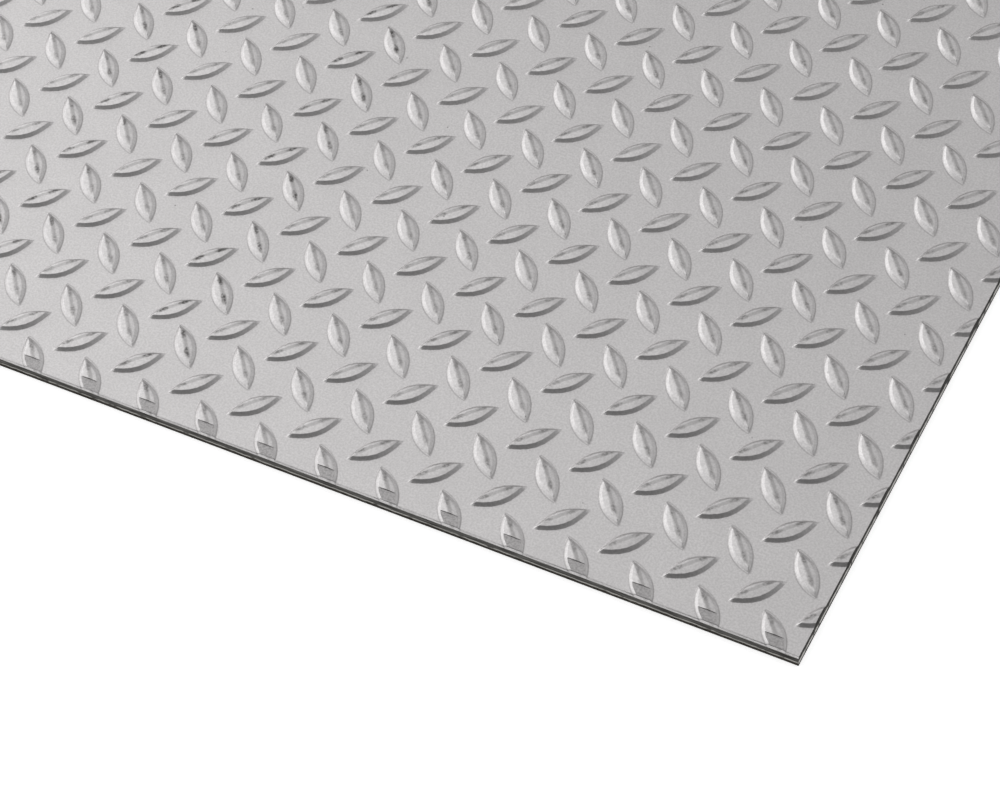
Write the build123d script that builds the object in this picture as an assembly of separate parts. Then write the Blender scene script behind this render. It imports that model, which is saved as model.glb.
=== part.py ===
from build123d import *
from build123d.topology import SkipClean
import math
import os

# Checker plate: one piece of hot-rolled steel with a pattern of raised lugs, sheared to
# size on all four sides. Millimetres, +Z up. The origin is the middle of the underside,
# the long side runs along X, and the rolled face with the lugs looks up.

# Sheet, cut to size
length = 600.0             # along X
width = 500.0              # along Y
thickness = 8.0            # between the lugs

# Lugs: lenses with sloping sides, rolled up out of the sheet's own face
lug_length = 28.0
lug_width = 10.5
lug_height = 1.8
lug_slope_run = 1.7        # how far a side slopes in, seen from above
lug_waist = 1 / 3          # the stretch at full width, as a share of the lug's length

# Pattern: a lug on each crossing of a grid, and one turned the other way in each cell.
# Both lie along the cell's diagonals, so each lug points at the flanks of its neighbours.
pitch_x = 33.0
pitch_y = 35.8
right_inset = 14.85        # from the right edge to the nearest column of crossings
front_inset = 6.4          # from the front edge to the nearest row: the shear cut its lugs
diagonal = math.degrees(math.atan2(pitch_y, pitch_x))

# Sheared edge: a smooth band where the blade rubbed, and below it the fracture, which
# runs in under the plate. Along the front, the shear's hold-down pressed the lugs flat.
burnish_depth = 4.0        # from the rolled face down
fracture_run_in = 0.4      # how far the underside stands back from the cut
hold_down_reach = 5.8      # from the front edge
pressed_height = 1.2       # what the hold-down left of the lugs

# The rolled face is made in bands of one pitch, whose joints swing round the lugs' tips
joint_swing = 3.0

fracture_height = thickness - burnish_depth
columns = math.ceil(length / pitch_x) + 2
bands = math.ceil(width / pitch_y) + 1


def lug():
    """One lug along X, standing on the rolled face."""
    tip = lug_length / 2
    shoulder = tip * lug_waist
    side = lug_width / 2
    outline = Polygon(
        (tip, 0), (shoulder, side), (-shoulder, side),
        (-tip, 0), (-shoulder, -side), (shoulder, -side),
        align=None,
    )
    slope = math.degrees(math.atan2(lug_slope_run, lug_height))
    return extrude(
        Plane.XY.offset(thickness) * outline, amount=lug_height, dir=(0, 0, 1), taper=slope
    )


def rolled_band():
    """A band of sheet, one pitch deep: a row of crossings and the row of cells before it."""
    reach = lug_length / 2 * math.cos(math.radians(diagonal))
    back_joint = []
    lugs = []
    for column in range(columns):
        x = -column * pitch_x
        back_joint.append((x + pitch_x / 2 - reach, pitch_y / 4 - joint_swing))
        back_joint.append((x - reach, pitch_y / 4 + joint_swing))
        lugs.append(Pos(x, 0, 0) * Rot(0, 0, -diagonal) * lug())
        lugs.append(Pos(x - pitch_x / 2, -pitch_y / 2, 0) * Rot(0, 0, diagonal) * lug())
    front_joint = [(x, y - pitch_y) for x, y in reversed(back_joint)]
    outline = Plane.XY.offset(fracture_height) * Polygon(*back_joint, *front_joint, align=None)
    base = extrude(outline, amount=burnish_depth, dir=(0, 0, 1))
    return base.fuse(*[one.solid() for one in lugs])


def shear_room():
    """What the shear leaves room for: the sheet's outline, with a low roof at the front."""
    pressed = Pos(0, 0, fracture_height) * Box(
        length, width, burnish_depth + pressed_height,
        align=(Align.CENTER, Align.CENTER, Align.MIN),
    )
    free = Pos(0, width / 2, fracture_height) * Box(
        length, width - hold_down_reach, burnish_depth + 2 * lug_height,
        align=(Align.CENTER, Align.MAX, Align.MIN),
    )
    return pressed + free


def sheared_bands():
    """The smooth-cut upper part of the plate: bands side by side, sheared through with
    whatever lugs stand on the cut."""
    band = rolled_band()
    room = shear_room()
    first_x = length / 2 - right_inset + pitch_x
    first_y = -width / 2 + front_inset
    cut = []
    for row in range(bands):
        placed = Pos(first_x, first_y + row * pitch_y, 0) * band
        cut += (placed & room).solids()
    return cut


def fractured_base():
    """The lower part of the plate, where the steel broke away under the blade."""
    cut_line = Plane.XY.offset(fracture_height) * Rectangle(length, width)
    underside = Rectangle(length - 2 * fracture_run_in, width - 2 * fracture_run_in)
    return loft([underside.face(), cut_line.face()])


def checker_plate():
    """The whole plate as one solid. Its rolled face stays divided where the bands meet,
    so that no single face has hundreds of lug outlines in it."""
    with SkipClean():
        return fractured_base().fuse(*sheared_bands())


os.makedirs("parts", exist_ok=True)
export_step(checker_plate(), "parts/checker_plate.step")
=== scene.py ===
import math

import bpy
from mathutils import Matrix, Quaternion, Vector


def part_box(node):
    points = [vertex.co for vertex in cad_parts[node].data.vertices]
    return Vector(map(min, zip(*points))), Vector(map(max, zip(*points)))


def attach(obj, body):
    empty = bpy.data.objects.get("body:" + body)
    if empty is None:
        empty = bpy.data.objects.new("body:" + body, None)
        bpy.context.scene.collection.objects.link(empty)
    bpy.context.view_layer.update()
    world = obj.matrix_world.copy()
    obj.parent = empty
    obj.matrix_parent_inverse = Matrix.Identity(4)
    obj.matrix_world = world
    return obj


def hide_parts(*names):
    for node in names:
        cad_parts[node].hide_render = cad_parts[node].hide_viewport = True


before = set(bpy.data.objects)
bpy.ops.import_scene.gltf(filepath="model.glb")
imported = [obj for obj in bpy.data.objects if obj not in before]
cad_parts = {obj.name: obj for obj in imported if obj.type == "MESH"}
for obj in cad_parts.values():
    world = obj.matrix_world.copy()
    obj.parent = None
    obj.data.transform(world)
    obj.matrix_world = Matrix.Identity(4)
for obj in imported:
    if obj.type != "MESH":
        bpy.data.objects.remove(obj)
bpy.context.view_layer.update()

# Sizes in metres, worked out from the plate's frame where it has them
MM = 0.001
low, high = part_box("checker_plate")
LENGTH = high.x - low.x
WIDTH = high.y - low.y
LUG_HEIGHT = 1.8 * MM
THICKNESS = high.z - low.z - LUG_HEIGHT
ROLLED_FACE = low.z + THICKNESS
TOUCHING = 0.01 * MM           # what is nearer than this to a line or plane lies on it

# Lugs, with the sizes of the part's source. Both sides are arcs from tip to tip.
LUG_LENGTH = 28.0 * MM
LUG_WIDTH = 10.5 * MM
LUG_SLOPE_RUN = 1.7 * MM
HALF_WIDTH = LUG_WIDTH / 2
ARC_RADIUS = ((LUG_LENGTH / 2) ** 2 + HALF_WIDTH ** 2) / (2 * HALF_WIDTH)

# Their pattern, as there: a lug on each crossing of a grid, and one turned the other way in
# each cell. The first of each kind is the one at the front right corner.
PITCH_X = 33.0 * MM
PITCH_Y = 35.8 * MM
PITCH = (PITCH_X, PITCH_Y, 1.0)
HALF_PITCH = [step / 2 for step in PITCH]
RIGHT_INSET = 14.85 * MM
FRONT_INSET = 6.4 * MM
FIRST_CROSSING = (high.x - RIGHT_INSET, low.y + FRONT_INSET, ROLLED_FACE)
FIRST_CELL = (FIRST_CROSSING[0] - PITCH_X / 2, FIRST_CROSSING[1] + PITCH_Y / 2, ROLLED_FACE)
DIAGONAL = math.atan2(PITCH_Y, PITCH_X)
CELL_TURN = DIAGONAL - math.radians(1.9)    # the lugs in the cells lie a little flatter
COLUMNS = math.ceil(LENGTH / PITCH_X) + 2
ROWS = math.ceil(WIDTH / PITCH_Y) + 2

# A lug's side from under the face up, as height over the face and distance in from the foot
# line. It flares out of the face, climbs steeply, and has a narrow soft shoulder under the roof.
LUG_RIDGE_RISE = 0.3 * MM      # the roof climbs by this from the shoulder to the ridge
LUG_SHOULDER = LUG_HEIGHT - LUG_RIDGE_RISE
LUG_SIDE = (
    (-0.14 * MM, -0.65 * MM),
    (0.14 * MM, 0.14 * MM),
    (LUG_SHOULDER - 0.12 * MM, LUG_SLOPE_RUN),
    (LUG_SHOULDER, LUG_SLOPE_RUN + 0.35 * MM),
)
ARC_FACETS = 32                # facets that the full circle of a lug's side would have

# The ends of a lug are more pointed than arcs and fade out: beyond each distance from its
# middle, it is narrower and lower by these factors. The thin tips make it a little longer.
LUG_PINCH = ((3 * MM, 0.98, 1.0), (7 * MM, 0.92, 0.92), (11 * MM, 0.92, 0.8))
LUG_STRETCH = 1.03

# Sheared edges
BURNISH_DEPTH = 4.0 * MM
FRACTURE_RUN_IN = 0.4 * MM
HOLD_DOWN_REACH = 5.8 * MM
PRESSED_HEIGHT = 1.2 * MM
PRESSED_SLOPE = 0.4 * MM       # how far the pressed lugs fall towards the edge
EDGE_STEP = 2.5 * MM           # spacing of the points along a sheared edge
SHEAR_HEADROOM = 3.0 * MM

# The section of a sheared edge from over the plate down, as depth under the rolled face and
# distance in from the outline: a straight burnish, and the fracture that runs in from it
EDGE_SECTION = (
    (-SHEAR_HEADROOM, 0.0),
    (BURNISH_DEPTH, 0.0),
    (BURNISH_DEPTH + 0.9 * MM, 0.12 * MM),
    (BURNISH_DEPTH + 2.0 * MM, 0.2 * MM),
    (THICKNESS - 0.9 * MM, 0.34 * MM),
    (THICKNESS - 0.25 * MM, FRACTURE_RUN_IN),
    (THICKNESS, FRACTURE_RUN_IN),
)

# How the blade drew the face down along the front and back, as distance in from the outline
# and drop
ROLLOVER = (
    (1.0 * MM, 0.0), (0.65 * MM, 0.05 * MM), (0.42 * MM, 0.18 * MM), (0.25 * MM, 0.5 * MM),
    (0.0, 1.2 * MM),
)

# The painted highlight along the line where the steel tore, as depths under the rolled face
TEAR_AT_FRONT = (4.6 * MM, 5.5 * MM)
TEAR_AT_SIDES = (3.2 * MM, 5.8 * MM)
FRACTURE_WOBBLE = 0.12 * MM    # how uneven the broken steel is

# The finishes, in the order of the materials on the plate
FACE, PRESSED, CUT, RAGGED_CUT = range(4)

# Where they change: a cut face is this near to the outline, and at the front and back it
# ends at this height
CUT_REACH = 0.6 * MM
CUT_TOP = ROLLED_FACE - ROLLOVER[-1][1] + 0.02 * MM
CREASE_ANGLE = math.radians(31)    # faces that meet at less than this are shaded as one

# Strips along the rolling direction where the roll is worn, and the marks on the lugs are
# stronger, as place along X and half the width
WORN_STRIPS = ((-53 * MM, 16 * MM), (-162 * MM, 18 * MM))
WORN_FADE = 4 * MM             # half the width of a strip's soft border
WORN_EXTRA = 0.6               # what the marks gain there, as a share of their strength

# The marks on the lugs, along and across the ridge, and the painted shade round a lug's foot
MARK_SIZE = (4.2 * MM, 1.4 * MM, 1.0)       # half their length and width
MARK_WOBBLE = (3.0 * MM, 1.2 * MM, 0.0)     # how far their outlines wander
BAND_STRENGTH = 0.3            # of the faint band between a lug's two marks
FOOT_STRENGTH = 0.25           # of the painted shade, a dark line in the crease round a lug's foot

# The room: a wide floor right under the plate, and the direction in which the walls darken
FLOOR_SIZE = 12
FLOOR_GAP = 0.05 * MM
DARK_SIDE = (0.35, -0.85, -0.6)

# Settings of shader nodes that many of them share
SMOOTHLY = {"interpolation_type": "SMOOTHSTEP"}
COLOURS = {"data_type": "RGBA"}


def deselect_all():
    if bpy.context.object and bpy.context.object.mode != "OBJECT":
        bpy.ops.object.mode_set(mode="OBJECT")
    bpy.ops.object.select_all(action="DESELECT")


def work_on(piece):
    """Makes a piece the only selected one and the active one."""
    deselect_all()
    piece.select_set(True)
    bpy.context.view_layer.objects.active = piece


def pick(piece, part, wanted):
    """Selects the piece's vertices, edges or faces for which wanted says yes, and goes into
    edit mode with them."""
    work_on(piece)
    bpy.ops.object.mode_set(mode="EDIT")
    bpy.ops.mesh.select_mode(type={"vertices": "VERT", "edges": "EDGE", "faces": "FACE"}[part])
    bpy.ops.mesh.select_all(action="DESELECT")
    bpy.ops.object.mode_set(mode="OBJECT")
    mesh = piece.data
    items = {"vertices": mesh.vertices, "edges": mesh.edges, "faces": mesh.polygons}[part]
    for item in items:
        item.select = wanted(item)
    bpy.ops.object.mode_set(mode="EDIT")


def every_one(item):
    return True


def apply_modifier(piece, kind, **settings):
    """Adds a modifier with its settings and applies it."""
    work_on(piece)
    modifier = piece.modifiers.new(kind.lower(), kind)
    for name, value in settings.items():
        setattr(modifier, name, value)
    bpy.ops.object.modifier_apply(modifier=modifier.name)


def settle(piece):
    """Puts the piece's place, turn and scale into its mesh."""
    work_on(piece)
    bpy.ops.object.transform_apply(location=True, rotation=True, scale=True)


def remove(piece):
    bpy.data.objects.remove(piece, do_unlink=True)


def split_faces(place, normal, keep_behind=True):
    """Divides the selected faces where a plane crosses them, and leaves edit mode. What lies
    behind the plane can be taken off."""
    bpy.ops.mesh.bisect(
        plane_co=place, plane_no=normal, clear_inner=not keep_behind, clear_outer=False,
        use_fill=False, threshold=1e-7,
    )
    bpy.ops.object.mode_set(mode="OBJECT")


def half_lug():
    """Half a lug: the slice that the lug's axis cuts off a wide flat cone."""
    centre = (0, HALF_WIDTH - ARC_RADIUS, 0)
    last_height, last_inset = LUG_SIDE[0]
    bpy.ops.mesh.primitive_circle_add(
        vertices=ARC_FACETS, radius=ARC_RADIUS - last_inset, fill_type="NGON",
        location=(0, centre[1], last_height),
    )
    half = bpy.context.object
    settle(half)
    pick(half, "faces", every_one)
    for height, inset in LUG_SIDE[1:]:
        bpy.ops.mesh.extrude_region_move(
            TRANSFORM_OT_translate={"value": (0, 0, height - last_height)}
        )
        shrink = (ARC_RADIUS - inset) / (ARC_RADIUS - last_inset)
        bpy.ops.transform.resize(value=(shrink, shrink, 1), center_override=centre)
        last_height, last_inset = height, inset
    to_ridge = HALF_WIDTH - last_inset
    bpy.ops.mesh.poke(offset=LUG_RIDGE_RISE * (ARC_RADIUS - last_inset) / to_ridge)
    bpy.ops.mesh.select_all(action="SELECT")
    split_faces((0, 0, 0), (0, 1, 0), keep_behind=False)
    for reach, narrower, lower in LUG_PINCH:
        pick(half, "vertices", lambda vertex: abs(vertex.co.x) > reach)
        bpy.ops.transform.resize(value=(1, narrower, lower), center_override=(0, 0, 0))
        bpy.ops.object.mode_set(mode="OBJECT")
    half.scale.x = LUG_STRETCH
    settle(half)
    return half


def lug():
    """One whole lug along X with its foot on z 0."""
    whole = half_lug()
    apply_modifier(
        whole, "MIRROR", use_axis=(False, True, False), use_mirror_merge=True, merge_threshold=1e-6,
    )
    mesh = whole.data

    def on_ridge(edge):
        ends = [mesh.vertices[i].co for i in edge.vertices]
        return all(abs(end.y) < 1e-6 and end.z > 0 for end in ends)

    pick(whole, "edges", on_ridge)
    bpy.ops.mesh.mark_sharp()
    bpy.ops.object.mode_set(mode="OBJECT")
    return whole


def lug_field(turn, first):
    """All the lugs of one kind, in columns to the left and rows to the back. They start one
    column and one row outside the plate."""
    field = lug()
    field.rotation_euler.z = turn
    settle(field)
    field.location = (first[0] + PITCH_X, first[1] - PITCH_Y, first[2])
    settle(field)
    apply_modifier(
        field, "ARRAY", count=COLUMNS, use_relative_offset=False, use_constant_offset=True,
        constant_offset_displace=(-PITCH_X, 0, 0),
    )
    apply_modifier(
        field, "ARRAY", count=ROWS, use_relative_offset=False, use_constant_offset=True,
        constant_offset_displace=(0, PITCH_Y, 0),
    )
    return field


def rolled_sheet():
    """The sheet as it leaves the rolls, larger than the plate that is sheared from it."""
    margin = 2 * PITCH_X
    bpy.ops.mesh.primitive_cube_add(size=1, location=(0, 0, low.z + THICKNESS / 2))
    sheet = bpy.context.object
    sheet.scale = (LENGTH + 2 * margin, WIDTH + 2 * margin, THICKNESS)
    settle(sheet)
    crossings = lug_field(-DIAGONAL, FIRST_CROSSING)
    cells = lug_field(CELL_TURN, FIRST_CELL)
    for field in (crossings, cells):
        apply_modifier(sheet, "BOOLEAN", operation="UNION", object=field, solver="MANIFOLD")
        remove(field)
    return sheet


def shear_room():
    """What the shear leaves room for: the plate's outline with the section of its edges."""
    last_depth, last_inset = EDGE_SECTION[0]
    bpy.ops.mesh.primitive_plane_add(size=1, location=(0, 0, ROLLED_FACE - last_depth))
    room = bpy.context.object
    room.scale = (LENGTH - 2 * last_inset, WIDTH - 2 * last_inset, 1)
    settle(room)
    pick(room, "edges", every_one)
    bpy.ops.mesh.delete(type="ONLY_FACE")
    bpy.ops.mesh.select_all(action="SELECT")
    bpy.ops.mesh.subdivide(number_cuts=round(WIDTH / EDGE_STEP))
    for depth, inset in EDGE_SECTION[1:]:
        bpy.ops.mesh.extrude_region_move(
            TRANSFORM_OT_translate={"value": (0, 0, last_depth - depth)}
        )
        bpy.ops.transform.resize(
            value=(
                (LENGTH - 2 * inset) / (LENGTH - 2 * last_inset),
                (WIDTH - 2 * inset) / (WIDTH - 2 * last_inset),
                1,
            ),
            center_override=(0, 0, 0),
        )
        last_depth, last_inset = depth, inset
    bpy.ops.mesh.edge_face_add()
    top = ROLLED_FACE + SHEAR_HEADROOM
    pick(room, "vertices", lambda vertex: abs(vertex.co.z - top) < 1e-6)
    bpy.ops.mesh.edge_face_add()
    bpy.ops.mesh.select_all(action="SELECT")
    bpy.ops.mesh.normals_make_consistent(inside=False)
    roughen_fracture(room)
    return room


def roughen_fracture(room):
    """Unsettles the rows of points that are well between the burnish and the underside."""
    margin = 0.3 * MM
    upper = ROLLED_FACE - BURNISH_DEPTH - margin
    lower = low.z + margin
    pick(room, "vertices", lambda vertex: lower < vertex.co.z < upper)
    bpy.ops.transform.vertex_random(offset=FRACTURE_WOBBLE, uniform=0.6, normal=0.0, seed=7)
    bpy.ops.object.mode_set(mode="OBJECT")


def press_front(room):
    """Takes the hold-down's strip along the front off the top of the shear's room. It lies
    a little deeper towards the edge."""
    roof = ROLLED_FACE + PRESSED_HEIGHT
    bpy.ops.mesh.primitive_cube_add(size=1, location=(0, low.y, roof + SHEAR_HEADROOM))
    bar = bpy.context.object
    bar.scale = (LENGTH * 1.1, 2 * HOLD_DOWN_REACH, 2 * SHEAR_HEADROOM)
    settle(bar)
    pick(bar, "vertices", lambda vertex: vertex.co.y < low.y and vertex.co.z < roof + TOUCHING)
    bpy.ops.transform.translate(value=(0, 0, -2 * PRESSED_SLOPE))
    bpy.ops.object.mode_set(mode="OBJECT")
    apply_modifier(room, "BOOLEAN", operation="DIFFERENCE", object=bar, solver="MANIFOLD")
    remove(bar)


def roll_over(plate):
    """Draws the rolled face down along the front and the back, lugs and all, and divides the
    cut lugs there where the finish changes."""
    for outline, inward in ((low.y, 1), (high.y, -1)):
        for distance, _ in ROLLOVER[:-1]:
            pick(plate, "faces", every_one)
            split_faces((0, outline + inward * distance, 0), (0, 1, 0))
        last_drop = 0.0
        for distance, drop in ROLLOVER[1:]:
            skin = ROLLED_FACE - last_drop - TOUCHING
            reach = distance + TOUCHING

            def in_reach(vertex):
                return (vertex.co.y - outline) * inward < reach and vertex.co.z > skin

            pick(plate, "vertices", in_reach)
            bpy.ops.transform.translate(value=(0, 0, last_drop - drop))
            bpy.ops.object.mode_set(mode="OBJECT")
            last_drop = drop
        pick(plate, "faces", lambda face: abs(face.center.y - outline) < 0.05 * MM)
        split_faces((0, 0, CUT_TOP), (0, 0, 1))


def checker_plate():
    """The finished plate: the rolled sheet cut to the room that the shear leaves."""
    plate = rolled_sheet()
    room = shear_room()
    press_front(room)
    apply_modifier(plate, "BOOLEAN", operation="INTERSECT", object=room, solver="MANIFOLD")
    remove(room)
    roll_over(plate)
    plate.name = "rolled_plate"
    plate.data.name = "rolled_plate"
    return plate


def linear(code):
    """A colour written as a hex value, in the linear values that nodes take."""
    channels = [int(code[i:i + 2], 16) / 255 for i in (1, 3, 5)]
    return [c / 12.92 if c <= 0.04045 else ((c + 0.055) / 1.055) ** 2.4 for c in channels] + [1.0]


def node(tree, kind, inputs=(), output=0, **settings):
    """Adds a shader node with its settings, and gives back one of its outputs if it has any.
    Inputs get values or links, in order or by name, or by number where several share one."""
    made = tree.nodes.new("ShaderNode" + kind)
    for name, value in settings.items():
        setattr(made, name, value)
    wanted = inputs if isinstance(inputs, dict) else dict(enumerate(inputs))
    for name, value in wanted.items():
        if isinstance(value, bpy.types.NodeSocket):
            tree.links.new(value, made.inputs[name])
        else:
            made.inputs[name].default_value = value
    return made.outputs[output] if made.outputs else None


def new_material(name):
    material = bpy.data.materials.new(name)
    material.use_nodes = True
    material.node_tree.nodes.clear()
    return material, material.node_tree


def distance_from(tree, value, aim):
    """How far a value is from another one, up or down."""
    difference = node(tree, "Math", (value, aim), operation="SUBTRACT")
    return node(tree, "Math", (difference,), operation="ABSOLUTE")


def streaks(tree, place, size, detail):
    """Clouds or grains as a value from 0 to 1, of a size along X, along Y and upwards."""
    spread = node(tree, "VectorMath", (place, size), operation="DIVIDE")
    return node(tree, "TexNoise", {"Vector": spread, "Scale": 1.0, "Detail": detail})


def worn_strips(tree, place):
    """Where the roll is worn, as a share from 0 to 1."""
    across = node(tree, "SeparateXYZ", (place,), "X")
    worn = 0.0
    for middle, half_width in WORN_STRIPS:
        off = distance_from(tree, across, middle)
        outside = half_width + WORN_FADE
        inside = half_width - WORN_FADE
        strip = node(tree, "MapRange", (off, outside, inside), **SMOOTHLY)
        worn = node(tree, "Math", (strip, worn), operation="MAXIMUM")
    return worn


def from_first_lug(tree, place, first):
    """The place as seen from the middle of the front right lug of one kind."""
    return node(tree, "VectorMath", (place, first), operation="SUBTRACT")


def on_nearest_lug(tree, place, first, turn):
    """The place as seen from the middle of the nearest lug of one kind, with X along it."""
    away = from_first_lug(tree, place, first)
    back = [-step for step in HALF_PITCH]
    near = node(tree, "VectorMath", (away, HALF_PITCH, back), operation="WRAP")
    return node(
        tree, "VectorRotate", {"Vector": near, "Angle": -turn}, rotation_type="Z_AXIS",
    )


def luck_of_lug(tree, place, first):
    """A random value from 0 to 1 for each lug of one kind."""
    away = from_first_lug(tree, place, first)
    from_corner = node(tree, "VectorMath", (away, HALF_PITCH), operation="ADD")
    which = node(tree, "VectorMath", (from_corner, PITCH), operation="SNAP")
    return node(tree, "TexWhiteNoise", (which,))


def shaken(tree, place, on_lug):
    """The place on a lug, unsettled so that what is drawn by it gets a ragged outline."""
    ragged = node(
        tree, "TexNoise", {"Vector": place, "Scale": 1 / (2.2 * MM), "Detail": 3.0}, "Color",
    )
    level = node(tree, "VectorMath", (ragged, (0.5, 0.5, 0.5)), operation="SUBTRACT")
    return node(tree, "VectorMath", (level, MARK_WOBBLE, on_lug), operation="MULTIPLY_ADD")


def lug_marks(tree, place, first, turn, middle, apart, behind, strength):
    """The dull marks on the lugs of one kind, as a share from 0 to 1. The groove in the roll
    filled last on the back of the ridge, towards both ends, and least where the roll is worn.
    A lug has two marks, one to each side of the middle and this far apart from it, which lie
    this far behind the ridge. A faint band goes from one to the other."""
    on_lug = shaken(tree, place, on_nearest_lug(tree, place, first, turn))
    across = node(tree, "SeparateXYZ", (on_lug,), "Y")
    along = distance_from(tree, node(tree, "SeparateXYZ", (on_lug,), "X"), middle)
    from_middle = node(tree, "CombineXYZ", (along, across))
    from_mark = node(
        tree, "VectorMath", (from_middle, (apart, behind, 0.0)), operation="SUBTRACT",
    )
    sized = node(tree, "VectorMath", (from_mark, MARK_SIZE), operation="DIVIDE")
    distance = node(tree, "VectorMath", (sized,), "Value", operation="LENGTH")
    oval = node(tree, "MapRange", (distance, 1.3, 0.3), **SMOOTHLY)
    spots = node(tree, "TexNoise", {"Vector": place, "Scale": 1 / (1.4 * MM), "Detail": 3.0})
    spotty = node(tree, "MapRange", (spots, 0.35, 0.6, 0.55, 1.0), **SMOOTHLY)
    mark = node(tree, "Math", (oval, spotty), operation="MULTIPLY")
    luck = luck_of_lug(tree, place, first)
    weakest = 0.85 * strength
    strongest = 1.1 * strength
    lug_strength = node(tree, "MapRange", (luck, 0.0, 1.0, weakest, strongest), **SMOOTHLY)
    worn = worn_strips(tree, place)
    wear = node(tree, "Math", (worn, WORN_EXTRA, 1.0), operation="MULTIPLY_ADD")
    each_strength = node(tree, "Math", (lug_strength, wear), operation="MULTIPLY")
    strong_mark = node(tree, "Math", (mark, each_strength), operation="MULTIPLY")
    off_ridge = distance_from(tree, across, behind)
    band_across = node(tree, "MapRange", (off_ridge, 1.5 * MM, 0.6 * MM), **SMOOTHLY)
    band_along = node(
        tree, "MapRange", (along, 10.5 * MM, 7.5 * MM, 0.0, BAND_STRENGTH), **SMOOTHLY,
    )
    band = node(tree, "Math", (band_across, band_along), operation="MULTIPLY")
    return node(tree, "Math", (strong_mark, band), operation="MAXIMUM")


def foot_line(tree, on_lug):
    """Painted shade in the crease round a lug's foot, a faint dark line, as a share: two arcs about
    the lug's axis.
    """
    along = node(tree, "SeparateXYZ", (on_lug,), "X")
    side = node(tree, "SeparateXYZ", (on_lug,), "Y")
    across = node(tree, "Math", (side,), operation="ABSOLUTE")
    from_arc_centre = node(tree, "Math", (across, ARC_RADIUS - HALF_WIDTH), operation="ADD")
    from_centre = node(tree, "CombineXYZ", (along, from_arc_centre))
    radius = node(tree, "VectorMath", (from_centre,), "Value", operation="LENGTH")
    off_line = distance_from(tree, radius, ARC_RADIUS)
    return node(
        tree, "MapRange", (off_line, 0.5 * MM, 0.1 * MM, 0.0, FOOT_STRENGTH), **SMOOTHLY,
    )


def all_marks(tree, place):
    """The marks on both kinds of lug. Those on the crossings also get painted shade, a dark line
    round the foot.
    """
    crossing_turn = -DIAGONAL - math.radians(3.5)
    on_crossings = lug_marks(
        tree, place, FIRST_CROSSING, crossing_turn,
        middle=-1.0 * MM, apart=5.7 * MM, behind=0.4 * MM, strength=0.58,
    )
    in_cells = lug_marks(
        tree, place, FIRST_CELL, DIAGONAL,
        middle=0.0, apart=6.0 * MM, behind=1.3 * MM, strength=0.68,
    )
    feet = foot_line(tree, on_nearest_lug(tree, place, FIRST_CROSSING, crossing_turn))
    with_feet = node(tree, "Math", (on_crossings, feet), operation="MAXIMUM")
    return node(tree, "Math", (with_feet, in_cells), operation="MAXIMUM")


def pickled_steel():
    """Hot-rolled steel with its scale pickled off: a dull bright grey, cloudy and grainy, with dark
    marks where the lugs did not fill the roll's grooves, a few pits, and painted shade at the foot
    of each lug on the crossings."""
    material, tree = new_material("pickled_steel")
    place = node(tree, "TexCoord", output="Object")
    # marks also carries the painted shade at the foot of each lug on the crossings
    marks = all_marks(tree, place)
    clouds = node(tree, "TexNoise", {"Vector": place, "Scale": 1 / (30 * MM), "Detail": 3.0})
    cloudy = node(tree, "MapRange", (clouds, 0.3, 0.7), **SMOOTHLY)
    skin = node(
        tree, "Mix", {0: cloudy, 6: linear("#bdbbbb"), 7: linear("#c0bebe")}, 2, **COLOURS,
    )
    mottle = node(tree, "TexNoise", {"Vector": place, "Scale": 1 / (4 * MM), "Detail": 3.0})
    faint_mottle = node(tree, "MapRange", (mottle, 0.3, 0.7, 0.0, 0.2), **SMOOTHLY)
    mottled = node(tree, "Mix", {0: faint_mottle, 6: skin, 7: linear("#b1afaf")}, 2, **COLOURS)
    grain = node(tree, "TexNoise", {"Vector": place, "Scale": 1 / (1.0 * MM), "Detail": 3.0})
    dark_grain = node(tree, "MapRange", (grain, 0.32, 0.68, 0.0, 0.45), **SMOOTHLY)
    grained = node(tree, "Mix", {0: dark_grain, 6: mottled, 7: linear("#9e9c9c")}, 2, **COLOURS)
    cells = node(tree, "TexVoronoi", {"Vector": place, "Scale": 1 / (21 * MM)})
    pits = node(tree, "MapRange", (cells, 0.03, 0.015, 0.0, 0.55), **SMOOTHLY)
    # dull darkens the colour for the marks, the pits and the painted shade at the lugs' foot
    dull = node(tree, "Math", (marks, pits), operation="MAXIMUM")
    colour = node(tree, "Mix", {0: dull, 6: grained, 7: linear("#545251")}, 2, **COLOURS)

    # The lugs are a little shinier than the face between them
    height = node(tree, "SeparateXYZ", (place,), "Z")
    lug_foot = ROLLED_FACE + 0.1 * MM
    lug_flank = ROLLED_FACE + 0.6 * MM
    bare = node(tree, "MapRange", (height, lug_foot, lug_flank, 0.41, 0.33), **SMOOTHLY)
    roughness = node(tree, "Math", (marks, 0.2, bare), operation="MULTIPLY_ADD")
    hollows = node(tree, "Math", (dull, 1.5), operation="MULTIPLY")
    relief = node(tree, "Math", (grain, hollows), operation="SUBTRACT")
    bump = node(tree, "Bump", {"Strength": 0.5, "Distance": 0.04 * MM, "Height": relief})
    shader = node(
        tree, "BsdfPrincipled",
        {"Base Color": colour, "Metallic": 1.0, "Roughness": roughness, "Normal": bump},
    )
    node(tree, "OutputMaterial", {"Surface": shader})
    return material


def pressed_steel():
    """Lugs that the shear's hold-down flattened: smeared, duller and darker than the rest."""
    material, tree = new_material("pressed_steel")
    place = node(tree, "TexCoord", output="Object")
    spots = node(tree, "TexNoise", {"Vector": place, "Scale": 1 / (1.0 * MM), "Detail": 3.0})
    smears = node(tree, "MapRange", (spots, 0.3, 0.7), **SMOOTHLY)
    colour = node(
        tree, "Mix", {0: smears, 6: linear("#8e8c8c"), 7: linear("#a9a7a7")}, 2, **COLOURS,
    )
    bump = node(tree, "Bump", {"Strength": 0.6, "Distance": 0.05 * MM, "Height": smears})
    shader = node(
        tree, "BsdfPrincipled",
        {"Base Color": colour, "Metallic": 1.0, "Roughness": 0.5, "Normal": bump},
    )
    node(tree, "OutputMaterial", {"Surface": shader})
    return material


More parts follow.
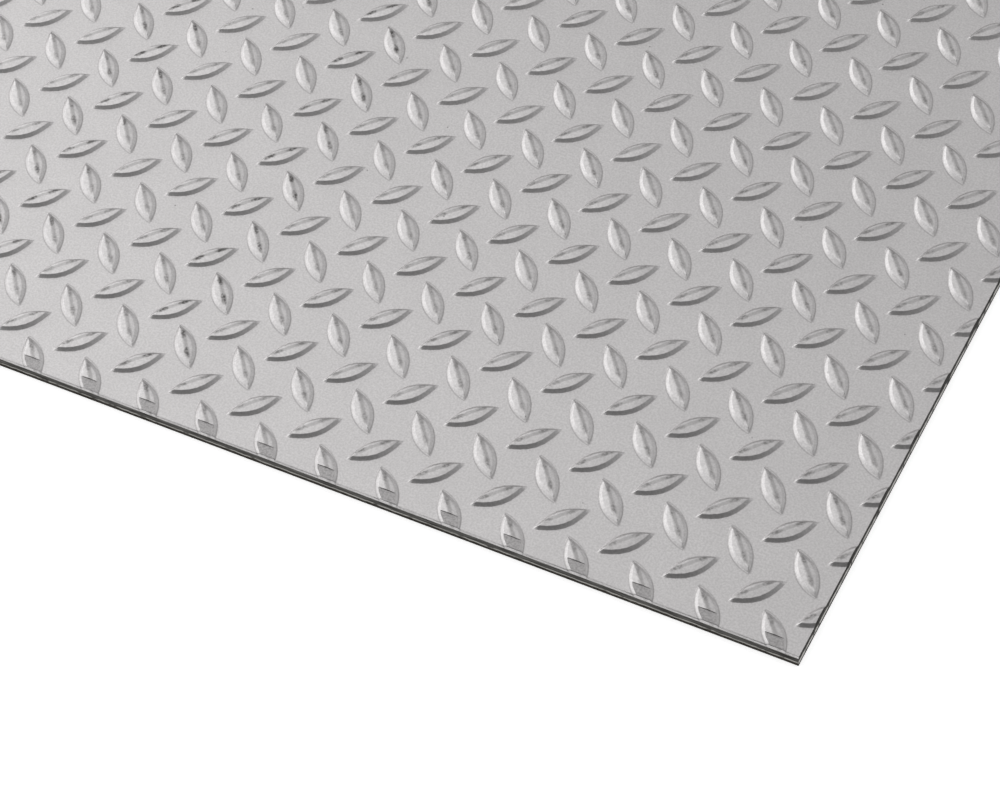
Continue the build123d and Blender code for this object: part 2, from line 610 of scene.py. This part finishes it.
def sheared_steel(name, tear, bare, gap_size, gaps_to, whole_from):
    """The cut: dark grey with fine streaks along it where the blade rubbed, coarser and darker
    where the steel broke, and between them a painted highlight, the bright ragged line where it
    tore.
    The line is gone where a noise of the gaps' size is under gaps_to."""
    material, tree = new_material(name)
    place = node(tree, "TexCoord", output="Object")
    height = node(tree, "SeparateXYZ", (place,), "Z")
    waves = streaks(tree, place, (5 * MM, 5 * MM, 20 * MM), 3.0)
    swing = 1.6 * MM
    depth = node(tree, "Math", (ROLLED_FACE - swing / 2, height), operation="SUBTRACT")
    wavy = node(tree, "Math", (waves, swing, depth), operation="MULTIPLY_ADD")
    first, last = tear
    soft = 0.25 * MM
    begun = node(tree, "MapRange", (wavy, first - soft, first + soft), **SMOOTHLY)
    not_over = node(tree, "MapRange", (wavy, last + soft, last - soft), **SMOOTHLY)
    torn = node(tree, "Math", (begun, not_over), operation="MULTIPLY")
    gaps = streaks(tree, place, (gap_size, gap_size, 3 * gap_size), 4.0)
    whole = node(tree, "MapRange", (gaps, gaps_to, whole_from), **SMOOTHLY)
    bright = node(tree, "Math", (torn, whole), operation="MULTIPLY")
    broken = node(tree, "MapRange", (wavy, last - soft, last + soft), **SMOOTHLY)
    thin = streaks(tree, place, (12 * MM, 12 * MM, 0.5 * MM), 3.0)
    fine = node(tree, "MapRange", (thin, 0.3, 0.7), **SMOOTHLY)
    thick = streaks(tree, place, (3 * MM, 3 * MM, 0.6 * MM), 3.0)
    coarse = node(tree, "MapRange", (thick, 0.3, 0.7), **SMOOTHLY)
    rubbed = node(
        tree, "Mix", {0: fine, 6: linear("#3b3a39"), 7: linear("#6b6a68")}, 2, **COLOURS,
    )
    rough_break = node(
        tree, "Mix", {0: coarse, 6: linear("#383633"), 7: linear("#575450")}, 2, **COLOURS,
    )
    dark = node(tree, "Mix", {0: broken, 6: rubbed, 7: rough_break}, 2, **COLOURS)
    # bare is the colour of the bright line: a painted highlight along the tear
    colour = node(tree, "Mix", {0: bright, 6: dark, 7: linear(bare)}, 2, **COLOURS)
    grooves = node(tree, "Mix", {0: broken, 2: fine, 3: coarse})
    relief = node(tree, "Math", (grooves, bright), operation="ADD")
    bump = node(tree, "Bump", {"Strength": 0.7, "Distance": 0.06 * MM, "Height": relief})
    roughness = node(tree, "MapRange", (broken, 0.0, 1.0, 0.4, 0.6), **SMOOTHLY)
    shader = node(
        tree, "BsdfPrincipled",
        {
            "Base Color": colour, "Metallic": 1.0, "Roughness": roughness, "Normal": bump,
            "Specular Tint": (0.3, 0.3, 0.3, 1.0),
        },
    )
    node(tree, "OutputMaterial", {"Surface": shader})
    return material


def finish_plate(plate):
    """Gives the faces their materials and the shading its creases."""
    mesh = plate.data
    mesh.materials.clear()
    finishes = (
        pickled_steel(), pressed_steel(),
        # The bright colours given here are those of the painted highlight along each tear
        sheared_steel("sheared_steel", TEAR_AT_FRONT, "#b8b6b2", 4 * MM, 0.25, 0.5),
        sheared_steel("ragged_sheared_steel", TEAR_AT_SIDES, "#dedcd8", 5 * MM, 0.36, 0.46),
    )
    for material in finishes:
        mesh.materials.append(material)
    for face in mesh.polygons:
        face.material_index = finish_of(face)
    work_on(plate)
    bpy.ops.object.shade_smooth_by_angle(angle=CREASE_ANGLE, keep_sharp_edges=True)
    apply_modifier(plate, "WEIGHTED_NORMAL", mode="FACE_AREA", weight=100, keep_sharp=True)


def finish_of(face):
    """The number of the finish that a face has, by its place and which way it looks."""
    centre = face.center
    front_or_back = WIDTH / 2 - abs(centre.y) < CUT_REACH and abs(face.normal.y) > 0.95
    side = LENGTH / 2 - abs(centre.x) < CUT_REACH and abs(face.normal.x) > 0.8
    pressed = (
        centre.y < low.y + HOLD_DOWN_REACH
        and ROLLED_FACE + 0.1 * MM < centre.z < ROLLED_FACE + PRESSED_HEIGHT
        and face.normal.z > 0.95
        and abs(face.normal.x) < 0.01
    )
    if front_or_back:
        return CUT if centre.z < CUT_TOP else FACE
    if side:
        return RAGGED_CUT
    return PRESSED if pressed else FACE


def floor():
    """A plain pale floor under the plate. Seen or mirrored, it is white."""
    bpy.ops.mesh.primitive_plane_add(size=FLOOR_SIZE, location=(0, 0, low.z - FLOOR_GAP))
    ground = bpy.context.object
    ground.name = "floor"
    material, tree = new_material("studio_floor")
    paint = node(tree, "BsdfDiffuse", {"Color": linear("#e6e6e6")})
    seen = node(tree, "LightPath", output="Is Camera Ray")
    mirrored = node(tree, "LightPath", output="Is Glossy Ray")
    shown = node(tree, "Math", (seen, mirrored), operation="MAXIMUM")
    glow_strength = node(tree, "Math", (shown, 0.7), operation="MULTIPLY")
    glow = node(tree, "Emission", {"Color": (1, 1, 1, 1), "Strength": glow_strength})
    both = node(tree, "AddShader", (paint, glow))
    node(tree, "OutputMaterial", {"Surface": both})
    ground.data.materials.append(material)


def camera():
    """The photograph's view: from the front and right, looking down at the right corner."""
    data = bpy.data.cameras.new("camera")
    data.sensor_width = 36
    data.lens = 119.0
    data.clip_start = 0.01
    data.clip_end = 50
    eye = Vector((650.2, -959.3, 1257.0)) * MM
    aim = Vector((110.3, -173.1, 8.0)) * MM
    roll = math.radians(8.94)
    view = bpy.data.objects.new("camera", data)
    bpy.context.collection.objects.link(view)
    view.location = eye
    view.rotation_mode = "QUATERNION"
    level = (aim - eye).to_track_quat("-Z", "Y")
    view.rotation_quaternion = level @ Quaternion((0, 0, 1), -roll)
    bpy.context.scene.camera = view


def softbox(name, place, aim, size, power):
    """A rectangular lamp, with its place, aim and size in metres and its power in watts."""
    data = bpy.data.lights.new(name, "AREA")
    data.shape = "RECTANGLE"
    data.size, data.size_y = size
    data.energy = power
    lamp = bpy.data.objects.new(name, data)
    bpy.context.collection.objects.link(lamp)
    lamp.location = place
    lamp.rotation_mode = "QUATERNION"
    lamp.rotation_quaternion = (Vector(aim) - Vector(place)).to_track_quat("-Z", "Y")


def lamps():
    """A large lamp overhead to the left, and two more on the left and in front of it."""
    softbox("overhead_left", (-1.3, 0.3, 1.8), (0.0, 0.0, 0.0), (2.2, 2.0), 7.5)
    softbox("left_wall", (-2.2, 0.35, 0.7), (0.0, 0.35, 0.1), (3.8, 1.4), 19)
    softbox("front_left", (-1.4, -1.4, 1.4), (0.0, 0.0, 0.0), (1.0, 0.9), 3.0)


def room_light():
    """A pale room that is dark towards the front, and white where the camera sees it."""
    world = bpy.data.worlds.new("studio")
    bpy.context.scene.world = world
    world.use_nodes = True
    tree = world.node_tree
    tree.nodes.clear()
    direction = node(tree, "TexCoord", output="Generated")
    towards = node(
        tree, "VectorMath", (direction, DARK_SIDE), "Value", operation="DOT_PRODUCT",
    )
    walls = node(tree, "MapRange", (towards, -0.9, 0.35, 0.9, 0.12), **SMOOTHLY)
    seen = node(tree, "LightPath", output="Is Camera Ray")
    strength = node(tree, "Math", (walls, seen), operation="MAXIMUM")
    light = node(tree, "Background", {"Color": (1, 1, 1, 1), "Strength": strength})
    node(tree, "OutputWorld", {"Surface": light})


bpy.context.scene.view_settings.view_transform = "Standard"
deselect_all()
plate = checker_plate()
finish_plate(plate)
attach(plate, "root")
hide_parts("checker_plate")
floor()
camera()
lamps()
room_light()
